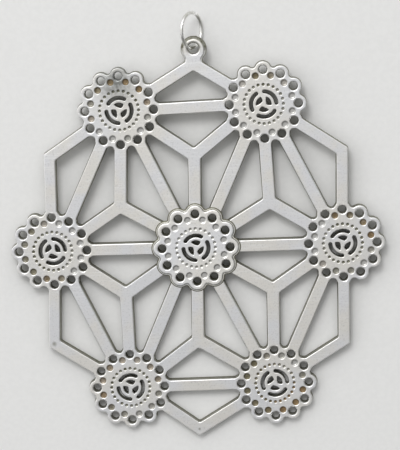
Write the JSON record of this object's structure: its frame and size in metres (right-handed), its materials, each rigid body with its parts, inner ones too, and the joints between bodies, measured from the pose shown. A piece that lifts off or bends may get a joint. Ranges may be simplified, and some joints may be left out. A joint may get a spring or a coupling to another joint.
{
  "type": "snowflake ornament",
  "caption": "Flat openwork metal snowflake of pierced scalloped rosettes joined by bars, with a hanging eye at the top and an open jump ring through the eye.",
  "frame": {"origin": "middle of the centre rosette at the flat back of the ornament", "axes": "+Y from the centre to the hanging eye, +Z out of the decorated face, +X to the right as seen from the face"},
  "size_m": [0.0908, 0.1038, 0.0078],
  "materials": {
    "bar_metal": "satin, brushed",
    "rosette_metal": "satin, tarnished in the recesses",
    "hub_metal": "satin",
    "raised_metal": "satin, bright edges",
    "wire_metal": "polished wire"
  },
  "bodies": {
    "snowflake": {"centre_hub": "hub_metal", "centre_rosette": "raised_metal", "rosette_right": "rosette_metal", "rosette_top_right": "rosette_metal", "rosette_top_left": "rosette_metal", "rosette_left": "rosette_metal", "rosette_bottom_left": "rosette_metal", "rosette_bottom_right": "rosette_metal", "spoke_right": "bar_metal", "spoke_top_right": "bar_metal", "spoke_top_left": "bar_metal", "spoke_left": "bar_metal", "spoke_bottom_left": "bar_metal", "spoke_bottom_right": "bar_metal", "rim_bar_upper_right": "bar_metal", "rim_bar_top": "bar_metal", "rim_bar_upper_left": "bar_metal", "rim_bar_lower_left": "bar_metal", "rim_bar_bottom": "bar_metal", "rim_bar_lower_right": "bar_metal", "fork_upper_right": "bar_metal", "fork_top": "bar_metal", "fork_upper_left": "bar_metal", "fork_lower_left": "bar_metal", "fork_bottom": "bar_metal", "fork_lower_right": "bar_metal", "chevron_upper_right": "bar_metal", "chevron_top_with_eye": "bar_metal", "chevron_upper_left": "bar_metal", "chevron_lower_left": "bar_metal", "chevron_bottom": "bar_metal", "chevron_lower_right": "bar_metal"},
    "jump_ring": {"jump_ring": "wire_metal"}
  },
  "joints": [
    {"name": "ring_turn", "type": "hinge", "parent": "snowflake", "child": "jump_ring", "pos_m": [0.00065, 0.0483, 0.001], "axis": [0, 1, 0], "range_deg": [-3, 67]}
  ]
}
